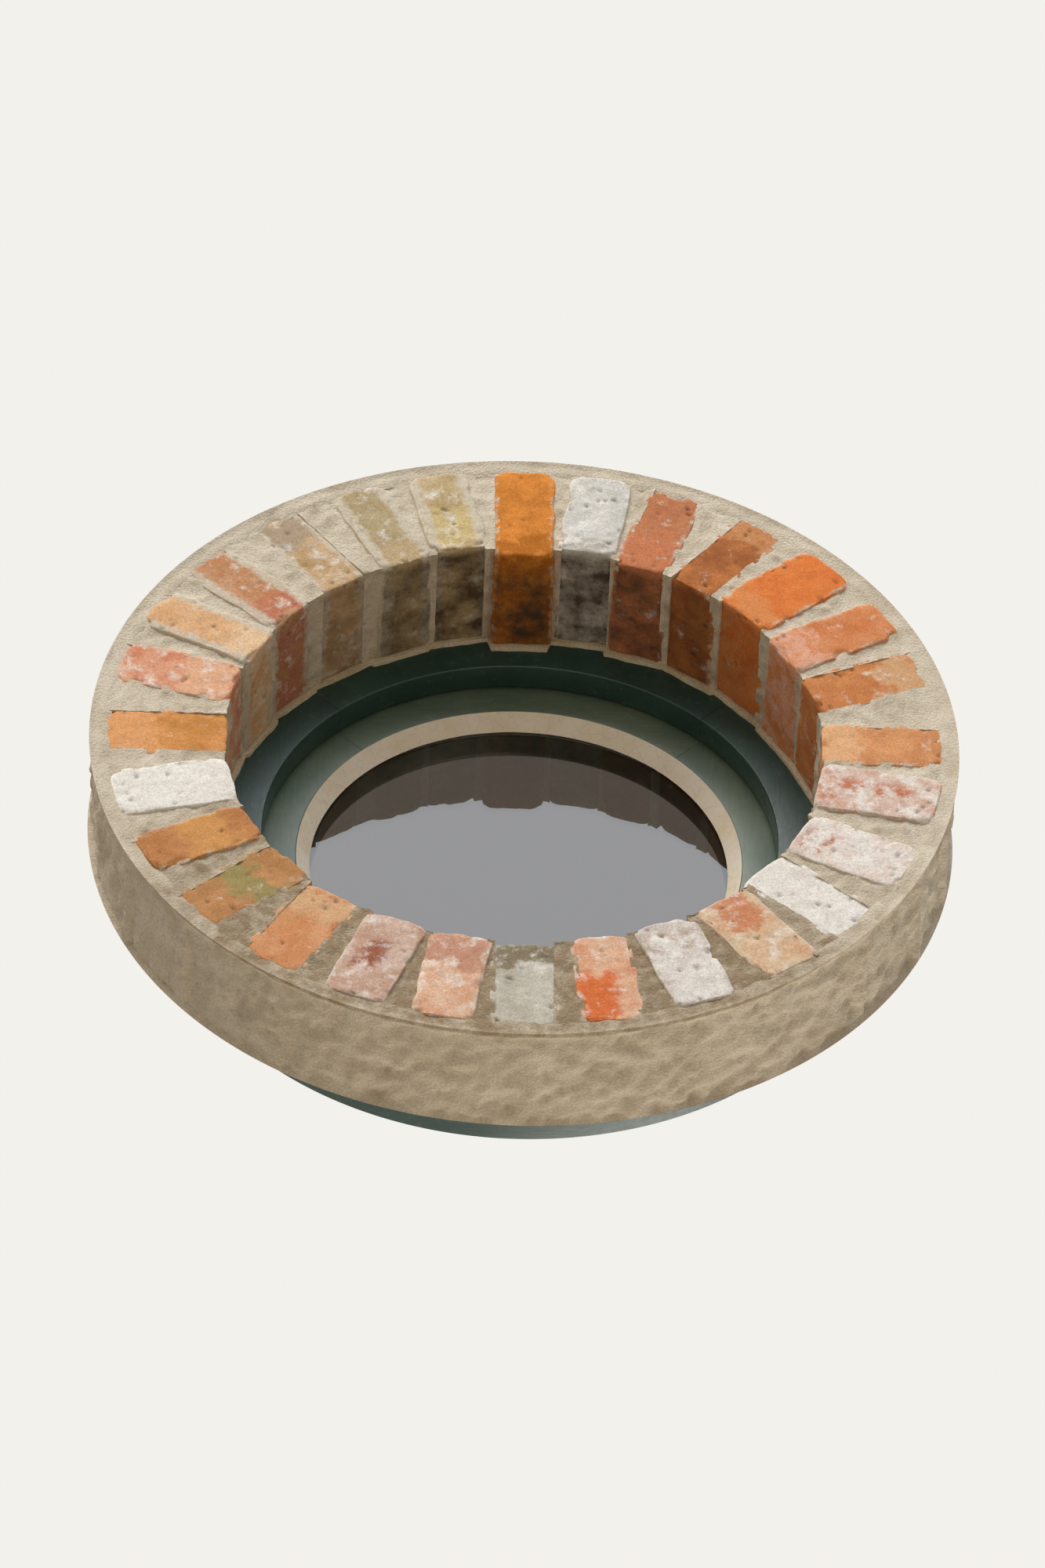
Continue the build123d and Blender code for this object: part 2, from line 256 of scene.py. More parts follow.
def shapeBrick(template, number, shape, look):
    box = brickBoxes[number - 1]
    block = template.copy()
    half = box.half
    layers = {name: block.verts.layers.float.new(name) for name in brickMarks}
    shift = number * 3.7
    for vert in block.verts:
        local = Vector((vert.co.x * 2 * half.x, vert.co.y * 2 * half.y, vert.co.z * 2 * half.z))
        place = box.place(local)
        streetSide = 1 - smooth(-0.3, 0.3, vert.co.z)
        chipped = smooth(0.22, 0.6, grain(place, shape["chipPatch"], shift))
        chipping = chipped * shape["chip"] * look.get("chips", 1) * streetSide
        corner = smooth(0.7, 1, abs(vert.co.x) * 2) * smooth(0.5, 1, abs(vert.co.y) * 2) * streetSide
        radius = shape["arris"] + shape["arrisSwing"] * grain(place, shape["arrisPatch"], shift + 5)
        radius = max(shape["leastArris"], radius + chipping + corner * shape["cornerWear"])
        core = Vector([max(radius - h, min(h - radius, v)) for v, h in zip(local, half)])
        out = (local - core).normalized()
        hidden = max(abs(out.y), out.x)
        shown = 1 - smooth(0.55, 0.95, hidden)
        cells = noise.voronoi(place / shape["pitSpacing"] + Vector((shift, 0, 0)))
        few = smooth(0.05, 0.4, grain(place, shape["pitPatch"], shift + 9))
        pit = (1 - smooth(0.08, 0.36, cells[0][0])) * few
        bow = 0.5 + 0.5 * grain(place, shape["lump"], shift + 2)
        rough = 0.5 + 0.5 * roughly(place + Vector((shift, 0, 0)), shape["roughGrain"], 5)
        depth = shown * (bow * shape["bow"] + max(0, rough) * shape["rough"] + pit * shape["pitDepth"])
        surface = core + out * (radius - depth)
        side = smooth(0.5, 1, abs(local.y) / half.y) * (1 if local.y > 0 else -1)
        wander = shape["sideWander"] * grain(place, shape["sidePatch"], shift + 12)
        surface.y += side * (shape["sideBulge"] + wander)
        vert.co = box.place(surface)
        fromFront = half.z + surface.z
        soffit = smooth(0.45, 0.85, -out.x)
        edge = half.y - abs(surface.y)
        vert[layers["along"]] = 0.5 + surface.x / half.x / 2
        vert[layers["across"]] = surface.y / half.y
        vert[layers["worn"]] = smooth(0.12, 0.38, 1 - max(abs(c) for c in out)) * shown
        vert[layers["pit"]] = pit * shown
        # the inner end browns from the street face into the reveal, partly soot and partly painted shade; on
        # the key brick this takes 24 mm instead of 9 mm
        vert[layers["soot"]] = soffit * smooth(shape["sootAndShadeFrom"], look["sootStart"], fromFront)
        vert[layers["smear"]] = 1 - smooth(0, look.get("smearReach", shape["smearReach"]), edge)
    return block


# Each brick as it stands in the ring, clockwise from the top: body and mottle, the share of lime wash left,
# a patch with its reach from the inner end (0) to the outer end (1) and from side to side (-1 to 1),
# how much its arrises are chipped, and how much joint mortar is smeared over them
brickLooks = [
    {"body": "#E18C36", "mottle": "#C87A2C", "lime": 0.02, "patch": "#B96C18", "reach": (0, 0.22),
     "chips": 0.2, "smear": 0.1},
    {"body": "#DCD8CE", "mottle": "#C9C4B8", "lime": 0.5, "patch": "#B9B1A2", "reach": (0, 0.12)},
    {"body": "#C47F55", "mottle": "#B87048", "lime": 0.2, "patch": "#C97C52", "reach": (0, 0.5)},
    {"body": "#BF763E", "mottle": "#9E5C2E", "lime": 0.12, "patch": "#C98A58", "reach": (0.75, 1)},
    {"body": "#E5843F", "mottle": "#DA7433", "lime": 0.05, "patch": "#DD8C50", "reach": (0, 0.25)},
    {"body": "#DC9260", "mottle": "#D27E48", "lime": 0.16, "patch": "#E3A686", "reach": (0, 0.3)},
    {"body": "#CF8850", "mottle": "#C2743F", "lime": 0.22, "patch": "#D3A274", "reach": (0.65, 1)},
    {"body": "#DF9C66", "mottle": "#CC8A58", "lime": 0.14, "patch": "#E6B080", "reach": (0, 0.3)},
    {"body": "#DFC4B2", "mottle": "#CC9274", "lime": 0.58, "patch": "#C67858", "reach": (0.1, 0.7),
     "side": (-0.6, -0.1)},
    {"body": "#E8D9CC", "mottle": "#DDBFAA", "lime": 0.66, "patch": "#B4684A", "reach": (0, 0.26),
     "side": (-0.5, 0.6)},
    {"body": "#EDE4DC", "mottle": "#DED0C4", "lime": 0.74, "patch": "#E4DAD0", "reach": (0.4, 0.6)},
    {"body": "#DDC2A0", "mottle": "#D6A880", "lime": 0.4, "patch": "#D08A60", "reach": (0, 0.4),
     "side": (-0.9, 0.5)},
    {"body": "#E2D8CE", "mottle": "#CDBDB2", "lime": 0.6, "patch": "#C0AC9C", "reach": (0.05, 0.3)},
    {"body": "#E6B896", "mottle": "#D6946C", "lime": 0.34, "patch": "#DB723A", "reach": (0.42, 1),
     "side": (-0.35, 1.2)},
    {"body": "#CBC3B2", "mottle": "#BBB2A0", "lime": 0.3, "patch": "#8A7C62", "reach": (0, 0.24)},
    {"body": "#E8BE9E", "mottle": "#D6A07C", "lime": 0.4, "patch": "#C89478", "reach": (0, 0.4)},
    {"body": "#D9BBA8", "mottle": "#C2987E", "lime": 0.42, "patch": "#A06048", "reach": (0.3, 0.62),
     "side": (-0.3, 0.5)},
    {"body": "#DA9E70", "mottle": "#D08C58", "lime": 0.16, "patch": "#D8AA7E", "reach": (0.05, 0.35)},
    {"body": "#C68F5C", "mottle": "#B27E4C", "lime": 0.16, "patch": "#A08E58", "reach": (0.3, 0.62)},
    {"body": "#C98A54", "mottle": "#B87A46", "lime": 0.08, "patch": "#D29656", "reach": (0.2, 0.6)},
    {"body": "#F1EDE3", "mottle": "#E3DCCE", "lime": 0.85, "patch": "#E6DCC8", "reach": (0, 0.2)},
    {"body": "#DD985A", "mottle": "#C98842", "lime": 0.12, "patch": "#E4A268", "reach": (0.55, 1)},
    {"body": "#E0A784", "mottle": "#D98D68", "lime": 0.38, "patch": "#E4AE88", "reach": (0, 0.42)},
    {"body": "#E2B486", "mottle": "#D8A472", "lime": 0.24, "patch": "#E8C49A", "reach": (0, 0.3),
     "smear": 0.85, "smearReach": 12 * mm},
    {"body": "#C99A74", "mottle": "#BE8050", "lime": 0.32, "patch": "#C2785A", "reach": (0, 0.26),
     "smear": 0.85, "smearReach": 14 * mm},
    {"body": "#D2B088", "mottle": "#BC9A6C", "lime": 0.32, "patch": "#B09A80", "reach": (0.62, 1),
     "smear": 0.85, "smearReach": 14 * mm},
    {"body": "#BAA680", "mottle": "#A89268", "lime": 0.32, "patch": "#BEA57C", "reach": (0, 0.3),
     "smear": 0.85, "smearReach": 14 * mm},
    {"body": "#CAB288", "mottle": "#B69C6E", "lime": 0.34, "patch": "#CDB67E", "reach": (0.1, 0.5),
     "smear": 0.85, "smearReach": 14 * mm},
]
clay = {
    "limeWash": "#EFE8DC",
    "jointMortar": "#D2C6B0",
    # the brown of the soot and painted shade on the bricks' inner ends
    "sootAndShadeBrown": "#4A3826",
    "cloud": 24 * mm,
    "patchEdge": 15 * mm,
    "flake": 15 * mm,
    "drag": 9 * mm,
    "sootAndShadePatch": 17 * mm,
    "speckle": 1.6 * mm,
    "sand": 1.1 * mm,
    "sandDepth": 0.5 * mm,
}
# how much soot and painted shade each brick's inner end gets: most at the top, where it looks down into the
# deepest shade, and some more from 70 degrees from the top round to the bottom
soot = {  # shares of the underside, by the brick's place in the ring
    "least": 0.12,
    "top": 0.84,
    "topReach": 62,  # degrees from the top
    "side": 0.3,
    "sideFrom": 70,
    "sideFull": 95,
    "start": 9 * mm,
    "keyStart": 24 * mm,
}


def firedClay(number, look):  # matt and porous: no shine at all, colour clouds of 2 to 3 cm, sand speckle
    material, tree, surface, coords = newMaterial(f"firedClay{number:02d}", {"Specular IOR Level": 0.25})
    values = {}
    for name in brickMarks:
        values[name] = addNode(tree, "Attribute", {"attribute_name": name}).outputs["Fac"]
    clouds = addNode(
        tree, "TexNoise", {"Scale": 1 / clay["cloud"], "Detail": 5, "Roughness": 0.6}, {"Vector": coords}
    )
    cloudShare = addNode(
        tree, "MapRange", {"From Min": 0.4, "From Max": 0.62}, {"Value": clouds.outputs["Fac"]}
    )
    body = addNode(
        tree, "Mix", {"data_type": "RGBA", 6: toLinear(look["body"]), 7: toLinear(look["mottle"])},
        {0: cloudShare.outputs[0]},
    )
    colour = body.outputs[2]

    # the patch lies between two marks along the brick, with a ragged edge
    ragged = addNode(
        tree, "TexNoise", {"Scale": 1 / clay["patchEdge"], "Detail": 6, "Roughness": 0.62}, {"Vector": coords}
    )
    insides = []
    for name, (low, high), swing, blur in (
        ("along", look["reach"], 0.45, 0.07), ("across", look.get("side", (-1.4, 1.4)), 1.1, 0.2)
    ):
        wander = addNode(
            tree, "MapRange", {"To Min": -swing, "To Max": swing}, {"Value": ragged.outputs["Fac"]}
        )
        moved = addNode(tree, "Math", {"operation": "ADD"}, {0: values[name], 1: wander.outputs[0]})
        rise = addNode(
            tree, "MapRange",
            {"interpolation_type": "SMOOTHSTEP", "From Min": low - blur, "From Max": low + blur},
            {"Value": moved.outputs[0]},
        )
        fall = addNode(
            tree, "MapRange",
            {
                "interpolation_type": "SMOOTHSTEP", "From Min": high - blur, "From Max": high + blur,
                "To Min": 1.0, "To Max": 0.0,
            },
            {"Value": moved.outputs[0]},
        )
        inside = addNode(tree, "Math", {"operation": "MULTIPLY"}, {0: rise.outputs[0], 1: fall.outputs[0]})
        insides.append(inside.outputs[0])
    share = addNode(tree, "Math", {"operation": "MULTIPLY"}, {0: insides[0], 1: insides[1]})
    colour = addNode(
        tree, "Mix", {"data_type": "RGBA", 7: toLinear(look["patch"])}, {0: share.outputs[0], 6: colour}
    ).outputs[2]

    # old lime wash: stays in the hollows and wears off the high spots
    flakes = addNode(
        tree, "TexNoise", {"Scale": 1 / clay["flake"], "Detail": 9, "Roughness": 0.72}, {"Vector": coords}
    )
    limeEdge = 0.64 - 0.34 * look["lime"]
    lime = addNode(
        tree, "MapRange", {"From Min": limeEdge, "From Max": limeEdge + 0.16, "To Max": 0.92},
        {"Value": flakes.outputs["Fac"]},
    )
    colour = addNode(
        tree, "Mix", {"data_type": "RGBA", 7: toLinear(clay["limeWash"])}, {0: lime.outputs[0], 6: colour}
    ).outputs[2]

    # joint mortar dragged over the long edges
    drag = addNode(
        tree, "TexNoise", {"Scale": 1 / clay["drag"], "Detail": 6, "Roughness": 0.68}, {"Vector": coords}
    )
    dragged = addNode(tree, "Math", {"operation": "MULTIPLY"}, {0: drag.outputs["Fac"], 1: values["smear"]})
    smearEdge = 0.5 - 0.28 * look.get("smear", 0.15)
    smear = addNode(
        tree, "MapRange", {"From Min": smearEdge, "From Max": smearEdge + 0.2, "To Max": 0.9},
        {"Value": dragged.outputs[0]},
    )
    colour = addNode(
        tree, "Mix", {"data_type": "RGBA", 7: toLinear(clay["jointMortar"])}, {0: smear.outputs[0], 6: colour}
    ).outputs[2]

    # soot and algae on the underside, heavier away from the rain, and painted shade with it: browner deeper
    # into the reveal and most at the top of the ring, where the inner ends look down
    sootAndShadeNoise = addNode(
        tree, "TexNoise", {"Scale": 1 / clay["sootAndShadePatch"], "Detail": 6, "Roughness": 0.6}, {"Vector": coords}
    )
    sootAndShadeWeight = addNode(
        tree, "MapRange",
        {
            "From Min": 0.38, "From Max": 0.64, "To Min": min(1, look["soot"] * 1.1),
            "To Max": look["soot"] * 0.35,
        },
        {"Value": sootAndShadeNoise.outputs["Fac"]},
    )
    sootAndShadeShare = addNode(tree, "Math", {"operation": "MULTIPLY"}, {0: values["soot"], 1: sootAndShadeWeight.outputs[0]})
    colour = addNode(
        tree, "Mix", {"data_type": "RGBA", 7: toLinear(clay["sootAndShadeBrown"])},
        {0: sootAndShadeShare.outputs[0], 6: colour},
    ).outputs[2]

    # speckle of sand and firing, dark pits, pale worn arrises
    speckle = addNode(
        tree, "TexNoise", {"Scale": 1 / clay["speckle"], "Detail": 3, "Roughness": 0.7}, {"Vector": coords}
    )
    tone = addNode(
        tree, "MapRange", {"From Min": 0.3, "From Max": 0.7, "To Min": 0.74, "To Max": 1.18},
        {"Value": speckle.outputs["Fac"]},
    )
    pitTone = addNode(tree, "MapRange", {"To Min": 1.0, "To Max": 0.5}, {"Value": values["pit"]})
    wornTone = addNode(tree, "MapRange", {"To Min": 1.0, "To Max": 1.12}, {"Value": values["worn"]})
    tone = addNode(tree, "Math", {"operation": "MULTIPLY"}, {0: tone.outputs[0], 1: pitTone.outputs[0]})
    tone = addNode(tree, "Math", {"operation": "MULTIPLY"}, {0: tone.outputs[0], 1: wornTone.outputs[0]})
    colour = addNode(
        tree, "VectorMath", {"operation": "SCALE"}, {0: colour, "Scale": tone.outputs[0]}
    ).outputs[0]
    tree.links.new(colour, surface.inputs["Base Color"])

    # dull all over, with a sandy skin
    dull = addNode(tree, "MapRange", {"To Min": 0.82, "To Max": 0.98}, {"Value": speckle.outputs["Fac"]})
    tree.links.new(dull.outputs[0], surface.inputs["Roughness"])
    sand = addNode(
        tree, "TexNoise", {"Scale": 1 / clay["sand"], "Detail": 4, "Roughness": 0.65}, {"Vector": coords}
    )
    skin = addNode(
        tree, "Bump", {"Strength": 0.6, "Distance": clay["sandDepth"]}, {"Height": sand.outputs["Fac"]}
    )
    tree.links.new(skin.outputs[0], surface.inputs["Normal"])
    return material


template = brickTemplate(brickShape)
for number, look in enumerate(brickLooks, 1):
    fromTop = abs((brickBoxes[number - 1].bearing + 180) % 360 - 180)
    # soot and painted shade on this brick's inner end, by its place in the ring
    sideSootAndShade = soot["side"] * smooth(soot["sideFrom"], soot["sideFull"], fromTop)
    look["soot"] = soot["least"] + soot["top"] * (1 - smooth(0, soot["topReach"], fromTop)) + sideSootAndShade
    look["sootStart"] = soot["keyStart"] if number == 1 else soot["start"]
    block = shapeBrick(template, number, brickShape, look)
    sharpen(block, brickShape["crease"])
    finishPiece(block, f"brick{number:02d}", firedClay(number, look), [f"brick_{number:02d}"])
template.free()
print("bricks laid:", brickCount)


# Lime mortar: hand-pointed, pale and sandy, weathered back between the bricks

mortarShape = {
    "stemInner": 205.6 * mm,
    "stemOuter": 291 * mm,
    "brickEnds": 289 * mm,
    "rake": 1.5 * mm,
    "rakeSwing": 1.3 * mm,
    "leastRake": 0.2 * mm,
    "dip": 0.6 * mm,
    "backRake": 0.3 * mm,
    "soffitRake": 1.2 * mm,
    "soffitSwing": 1.4 * mm,
    "overlap": 1.2 * mm,
    "rough": 1.0 * mm,
    "lump": 11 * mm,
    "sand": 5 * mm,
    "cells": (42, 7, 42),
    "endsOverlap": 3.5 * mm,
    "backLap": 9 * mm,
    "ringStep": 0.6,
    "ringLump": 17 * mm,
    "ringSand": 9 * mm,
    "ringRake": 1.1 * mm,
    "ringRakeSwing": 0.9 * mm,
    "ringRough": 2.8 * mm,
    "course": 62 * mm,
    "printDepth": 2.4 * mm,
    "crease": 50,
}
ringRadius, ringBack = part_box("ring_mortar")[1].xy


# darker towards the bottom of the ring: partly dirt, partly painted shadow under the bricks
def grimeAndShadowAt(place):  # the joints round the bottom of the ring hold the most dirt
    return smooth(0.25, 0.85, -math.cos(math.radians(bearingOf(place) - 5))) * 0.9


def mortarMarks(mesh):  # values on each vertex that the mortar's finish reads
    return [mesh.verts.layers.float.new(name) for name in ("hollow", "grimeAndShadow")]


def jointStem(template, left, right, shape):
    stem = template.copy()
    hollow, grimeAndShadow = mortarMarks(stem)
    for vert in stem.verts:
        u, v, w = vert.co.x + 0.5, vert.co.y + 0.5, vert.co.z + 0.5
        radius = shape["stemInner"] + (shape["stemOuter"] - shape["stemInner"]) * u
        first = left.edgePoint(1, radius)
        second = right.edgePoint(-1, radius)
        aside = (first - second).normalized() * shape["overlap"]
        place = (first + aside).lerp(second - aside, v)
        place.y = ringBack * w
        lump = grain(place, shape["lump"], 40)
        dip = 1 - abs(2 * v - 1) ** 2
        sand = roughly(place, shape["sand"], 4)
        worn = dip * shape["dip"] + sand * shape["rough"] * 0.7
        if w < 0.001:
            place.y += max(shape["leastRake"], shape["rake"] + shape["rakeSwing"] * lump + worn)
        elif w > 0.999:
            place.y -= shape["backRake"] + max(0, sand) * shape["rough"]
        if u < 0.001:
            place += outwardAt(bearingOf(place)) * (shape["soffitRake"] + shape["soffitSwing"] * lump + worn)
        vert.co = place
        vert[hollow] = max(0, -lump) + dip * 0.3
        vert[grimeAndShadow] = grimeAndShadowAt(place)
    return stem


def stemTemplate(shape):
    block = gridBlock(shape["cells"])

    def sideInside(face, sign):
        centre = face.calc_center_median()
        return face.normal.y * sign > 0.9 and -0.45 < centre.x < 0.45 and -0.45 < centre.z < 0.45

    mergeHidden(block, sideInside)
    return block


def pointingRing(shape):  # the joint round the outer ends, with the rough bed that held it in the wall
    inner = shape["brickEnds"] - shape["endsOverlap"]
    frontCells, bedCells = 8, 30
    outline = [(inner + (ringRadius - inner) * i / frontCells, 0) for i in range(frontCells + 1)]
    outline += [(ringRadius, ringBack * i / bedCells) for i in range(1, bedCells + 1)]
    outline += [(shape["brickEnds"] - shape["backLap"], ringBack)]
    ring = spunRing(outline, shape["ringStep"])
    hollow, grimeAndShadow = mortarMarks(ring)
    for vert in ring.verts:
        place = vert.co.copy()
        radius = radiusOf(place)
        outward = Vector((place.x, 0, place.z)).normalized()
        lump = grain(place, shape["ringLump"], 60)
        sand = roughly(place, shape["ringSand"], 5)
        if place.y < 0.5 * mm:
            edge = smooth(0, 4 * mm, ringRadius - radius)
            inside = 1 - smooth(0, 5 * mm, radius - inner)
            raked = shape["ringRake"] + shape["ringRakeSwing"] * lump + 0.6 * mm * sand
            place.y += edge * max(shape["leastRake"], raked) + inside * 1.2 * mm
        elif radius > ringRadius - 1 * mm and place.y < ringBack - 0.5 * mm:
            deep = smooth(0, 9 * mm, place.y)
            torn = max(0, 0.6 + lump * 0.8 + sand * 0.9)
            toJoint = abs((place.z / shape["course"] + 0.5) % 1 - 0.5) * shape["course"]
            pressed = smooth(2 * mm, 7 * mm, toJoint + 1.5 * mm * sand) * smooth(0.35, 0.8, abs(outward.x))
            place -= outward * deep * (torn * shape["ringRough"] + pressed * shape["printDepth"])
        vert.co = place
        onFront = place.y < 3 * mm
        vert[hollow] = max(0, lump) if onFront else 0.7 * max(0, lump + 0.6 * sand)
        vert[grimeAndShadow] = grimeAndShadowAt(place) if onFront else 0
    return ring


limeSand = {"cloud": 30 * mm, "dirtSpot": 8 * mm, "grit": 1.8 * mm, "sand": 1.4 * mm, "depth": 0.7 * mm}


def limeMortar(name, look):  # lime and river sand: dry, chalky, with 1 mm grit and darker damp clouds
    material, tree, surface, coords = newMaterial(name, {"Roughness": 0.95, "Specular IOR Level": 0.2})
    hollow = addNode(tree, "Attribute", {"attribute_name": "hollow"}).outputs["Fac"]
    grimeAndShadow = addNode(tree, "Attribute", {"attribute_name": "grimeAndShadow"}).outputs["Fac"]
    clouds = addNode(
        tree, "TexNoise", {"Scale": 1 / limeSand["cloud"], "Detail": 6, "Roughness": 0.6},
        {"Vector": coords},
    )
    cloudShare = addNode(
        tree, "MapRange", {"From Min": 0.36, "From Max": 0.64}, {"Value": clouds.outputs["Fac"]}
    )
    colour = addNode(
        tree, "Mix", {"data_type": "RGBA", 6: toLinear(look["pale"]), 7: toLinear(look["damp"])},
        {0: cloudShare.outputs[0]},
    ).outputs[2]
    dirty = addNode(
        tree, "TexNoise", {"Scale": 1 / limeSand["dirtSpot"], "Detail": 6, "Roughness": 0.65},
        {"Vector": coords},
    )
    # dirt in the hollows, plus the darkening towards the bottom of the ring, which is partly painted shadow
    dirtAndShadowShare = addNode(tree, "Math", {"operation": "MULTIPLY_ADD", 1: 1.3}, {0: grimeAndShadow, 2: hollow})
    dirtAndShadowEdge = addNode(
        tree, "Math", {"operation": "MULTIPLY"}, {0: dirtAndShadowShare.outputs[0], 1: dirty.outputs["Fac"]}
    )
    dirt = addNode(
        tree, "MapRange", {"From Min": 0.16, "From Max": 0.8, "To Max": 0.85}, {"Value": dirtAndShadowEdge.outputs[0]}
    )
    colour = addNode(
        tree, "Mix", {"data_type": "RGBA", 7: toLinear(look["dirt"])}, {0: dirt.outputs[0], 6: colour}
    ).outputs[2]
    grit = addNode(tree, "TexVoronoi", {"Scale": 1 / limeSand["grit"]}, {"Vector": coords})
    gritTone = addNode(
        tree, "MapRange", {"From Max": 0.8, "To Min": 1.1, "To Max": 0.86},
        {"Value": grit.outputs["Distance"]},
    )
    colour = addNode(
        tree, "VectorMath", {"operation": "SCALE"}, {0: colour, "Scale": gritTone.outputs[0]}
    ).outputs[0]
    tree.links.new(colour, surface.inputs["Base Color"])
    fine = addNode(
        tree, "TexNoise", {"Scale": 1 / limeSand["sand"], "Detail": 5, "Roughness": 0.7},
        {"Vector": coords},
    )
    both = addNode(tree, "Math", {"operation": "ADD"}, {0: fine.outputs["Fac"], 1: grit.outputs["Distance"]})
    skin = addNode(
        tree, "Bump", {"Strength": 0.7, "Distance": limeSand["depth"]}, {"Height": both.outputs[0]}
    )
    tree.links.new(skin.outputs[0], surface.inputs["Normal"])
    return material


mortarLook = {"pale": "#DFD1BA", "damp": "#CDBEA5", "dirt": "#8E7757"}
# the bedding's colours are paler than the pointing mortar's: painted light, so its lip in the shade of the
# reveal reads cream
beddingLookPaintedLight = {"pale": "#EEDFC2", "damp": "#DCC9A4", "dirt": "#A48C66"}
stemBlock = stemTemplate(mortarShape)
ring = pointingRing(mortarShape)
for index, left in enumerate(brickBoxes):
    stem = jointStem(stemBlock, left, brickBoxes[(index + 1) % brickCount], mortarShape)
    bmesh.ops.recalc_face_normals(stem, faces=stem.faces[:])
    data = bpy.data.meshes.new("stem")
    stem.to_mesh(data)
    stem.free()
    ring.from_mesh(data)
    bpy.data.meshes.remove(data)
stemBlock.free()
sharpen(ring, mortarShape["crease"])
finishPiece(ring, "ringMortar", limeMortar("limeMortar", mortarLook), ["ring_mortar"])
print("ring pointed")


# Bedding between the bricks and the frame: its lip follows the brick ends as a thin scalloped line

beddingShape = {
    "lip": 2.2 * mm,
    "lipSwing": 0.8 * mm,
    "lipPatch": 9 * mm,
    "furthest": 9 * mm,
    "edgeSwing": 0.8 * mm,
    "edgePatch": 6 * mm,
    "step": 0.5,
    "cells": 6,
    "crease": 50,
}


def brickEndRadius(bearing):  # how far in the nearest brick end comes at that bearing
    nearest = min(brickBoxes, key=lambda box: abs((box.bearing - bearing + 180) % 360 - 180))
    outward = outwardAt(bearing)
    face = nearest.centre - nearest.along * nearest.half.x
    return face.dot(nearest.along) / outward.dot(nearest.along)


def frameBedding(shape):
    low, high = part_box("frame_bedding")
    outer = high.x
    inner = min(radiusOf(point) for point in meshPoints("frame_bedding"))
    cells = shape["cells"]
    outline = [(inner + (outer - inner) * (i / cells) ** 2, low.y) for i in range(cells + 1)]
    outline += [(outer, high.y), (inner, high.y), (inner, (low.y + high.y) / 2)]
    bed = spunRing(outline, shape["step"])
    hollow, grimeAndShadow = mortarMarks(bed)
    for vert in bed.verts:
        place = vert.co.copy()
        radius = radiusOf(place)
        if radius < inner + 3 * mm:
            lip = brickEndRadius(bearingOf(place)) - shape["lip"]
            lip += shape["lipSwing"] * grain(place, shape["lipPatch"], 80) + radius - inner
            outward = Vector((place.x, 0, place.z)).normalized()
            place = outward * max(lip, inner - shape["furthest"]) + Vector((0, place.y, 0))
            if place.y < low.y + 0.5 * mm:
                place.y -= shape["edgeSwing"] * (0.5 + 0.5 * grain(place, shape["edgePatch"], 90))
        vert.co = place
        vert[hollow] = 0
        # a little of the darkening towards the bottom: dirt with painted shadow
        vert[grimeAndShadow] = grimeAndShadowAt(place) * 0.4
    return bed


bed = frameBedding(beddingShape)
sharpen(bed, beddingShape["crease"])
finishPiece(bed, "frameBedding", limeMortar("beddingMortarPaintedLight", beddingLookPaintedLight), ["frame_bedding"])
print("frame bedded")


# Joinery: segments sawn from boards, spun to the round section, with a hairline at each joint

joineryShape = {"step": 1.5, "arris": 1.2 * mm, "arrisSegments": 3, "seam": 0.35 * mm, "crease": 30}
segmentNumbers = (1, 2, 3, 4)


def sectionRadii(points, depth):  # the radii of the points at that depth, smallest first
    found = {round(radiusOf(point) / mm, 1) for point in points if abs(point.y - depth) < 0.05 * mm}
    return sorted(value * mm for value in found)


def spinSegment(outline, rounded, start, turn, shape):
    segment = bmesh.new()
    verts = [segment.verts.new((0, depth, radius)) for radius, depth in outline]
    segment.faces.new(verts)
    soft = [verts[i] for i in rounded]
    bmesh.ops.bevel(
        segment, geom=soft, offset=shape["arris"], offset_type="OFFSET", affect="VERTICES",
        segments=shape["arrisSegments"], profile=0.5, material=-1,
    )
    turnTo = Matrix.Rotation(math.radians(start), 4, "Y")
    bmesh.ops.transform(segment, matrix=turnTo, verts=segment.verts[:])
    geom = segment.faces[:] + segment.edges[:] + segment.verts[:]
    bmesh.ops.spin(
        segment, geom=geom, cent=(0, 0, 0), axis=(0, 1, 0), angle=math.radians(turn),
        steps=round(turn / shape["step"]), use_merge=False, use_duplicate=False,
    )
    openEdges = [edge for edge in segment.edges if len(edge.link_faces) == 1]
    if openEdges:
        bmesh.ops.holes_fill(segment, edges=openEdges, sides=0)
    bmesh.ops.remove_doubles(segment, verts=segment.verts[:], dist=1e-6)
    bmesh.ops.recalc_face_normals(segment, faces=segment.faces[:])
    caps = [face for face in segment.faces if len(face.verts) > 4]
    rims = [edge for face in caps for edge in face.edges]
    bmesh.ops.bevel(
        segment, geom=rims, offset=shape["seam"], offset_type="OFFSET", affect="EDGES",
        segments=1, profile=0.5, material=-1,
    )
    return segment


oilPaint = {"grain": 1.9 * mm, "cloud": 45 * mm, "dust": 5 * mm, "dustColour": "#A9A48E", "depth": 0.25 * mm}


